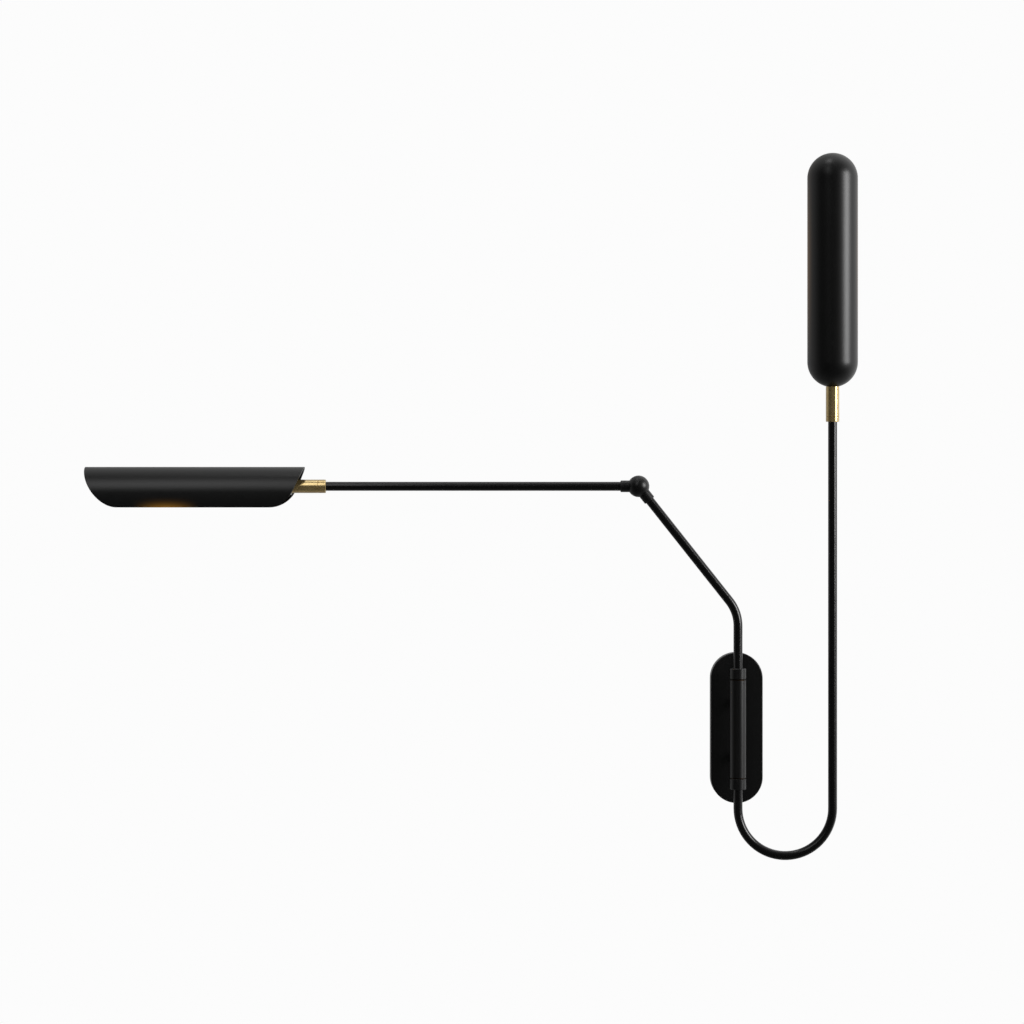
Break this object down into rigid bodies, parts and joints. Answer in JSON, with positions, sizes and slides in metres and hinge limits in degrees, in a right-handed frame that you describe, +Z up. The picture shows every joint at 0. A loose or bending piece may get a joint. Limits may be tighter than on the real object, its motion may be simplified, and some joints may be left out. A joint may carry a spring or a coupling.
{
  "type": "articulating wall lamp",
  "caption": "Hard-wired wall lamp with jointed swing arms on a shared vertical pivot, a rolled trough reading shade and an upright capsule shade, both on turning brass swivels.",
  "frame": {"origin": "centre of the mounting strap's back face, midway between its slots, on the wall's surface", "axes": "+Z up, +X to the right seen from the room, +Y into the wall; the lamp stands out towards -Y"},
  "size_m": [0.8574, 0.068, 0.7848],
  "materials": {
    "powder_coat": "satin black powder coat",
    "brass": "lightly brushed brass",
    "zinc_steel": "zinc plated",
    "bush_bronze": "sintered bronze, oiled",
    "moulded_black": "moulded",
    "moulded_white": "moulded",
    "lead_sheath": "extruded sheath",
    "cap_aluminium": "rolled thread shell",
    "opal_glass": "opal, warm white"
  },
  "bodies": {
    "wall_bracket": {"wall_plate": "powder_coat", "mounting_strap": "zinc_steel", "plate_screws": "zinc_steel", "upper_neck_post": "powder_coat", "lower_neck_post": "powder_coat", "neck_nuts": "zinc_steel", "pivot_barrel": "powder_coat", "upper_bush": "bush_bronze", "lower_bush": "bush_bronze", "terminal_block": "moulded_white", "terminal_screws": "zinc_steel", "earth_screw": "zinc_steel"},
    "upper_arm": {"upper_collar": "powder_coat", "upper_collar_screw": "zinc_steel", "upper_link": "powder_coat", "upper_clip": "zinc_steel", "upper_lead": "lead_sheath", "knuckle_base": "powder_coat"},
    "reading_arm": {"knuckle_cap": "powder_coat", "knuckle_pivot_screw": "zinc_steel", "knuckle_spring_washer": "zinc_steel", "knuckle_friction_ring": "moulded_black", "reading_arm_tube": "powder_coat", "reading_arm_ring": "brass", "reading_arm_clip": "zinc_steel", "reading_arm_lead": "lead_sheath"},
    "reading_head": {"reading_sleeve": "brass", "reading_bracket": "powder_coat", "reading_shade": "powder_coat", "reading_shade_screws": "zinc_steel", "reading_nipple": "brass", "reading_nut": "zinc_steel", "reading_lampholder": "moulded_black", "reading_bulb_cap": "cap_aluminium", "reading_bulb": "opal_glass"},
    "lower_arm": {"lower_collar": "powder_coat", "lower_collar_screw": "zinc_steel", "lower_arm_tube": "powder_coat", "lower_clip": "zinc_steel", "lower_arm_ring": "brass", "capsule_arm_clip": "zinc_steel", "lower_lead": "lead_sheath"},
    "capsule_head": {"capsule_sleeve": "brass", "capsule_shade": "powder_coat", "capsule_nipple": "brass", "capsule_nut": "zinc_steel", "capsule_lampholder": "moulded_black", "capsule_bulb_cap": "cap_aluminium", "capsule_bulb": "opal_glass"}
  },
  "joints": [
    {"name": "upper_swing", "type": "hinge", "parent": "wall_bracket", "child": "upper_arm", "pos_m": [0, -0.04, 0.06], "axis": [0, 0, 1], "range_deg": [0, 160]},
    {"name": "elbow_tilt", "type": "hinge", "parent": "upper_arm", "child": "reading_arm", "pos_m": [-0.1104, -0.04, 0.2694], "axis": [0, 1, 0], "range_deg": [-55, 70]},
    {"name": "reading_head_turn", "type": "hinge", "parent": "reading_arm", "child": "reading_head", "pos_m": [-0.4709, -0.04, 0.2694], "axis": [1, 0, 0], "range_deg": [-165, 165]},
    {"name": "lower_swing", "type": "hinge", "parent": "wall_bracket", "child": "lower_arm", "pos_m": [0, -0.04, -0.06], "axis": [0, 0, 1], "range_deg": [-165, 0]},
    {"name": "capsule_head_turn", "type": "hinge", "parent": "lower_arm", "child": "capsule_head", "pos_m": [0.105, -0.04, 0.36], "axis": [0, 0, 1], "range_deg": [-165, 165]}
  ]
}
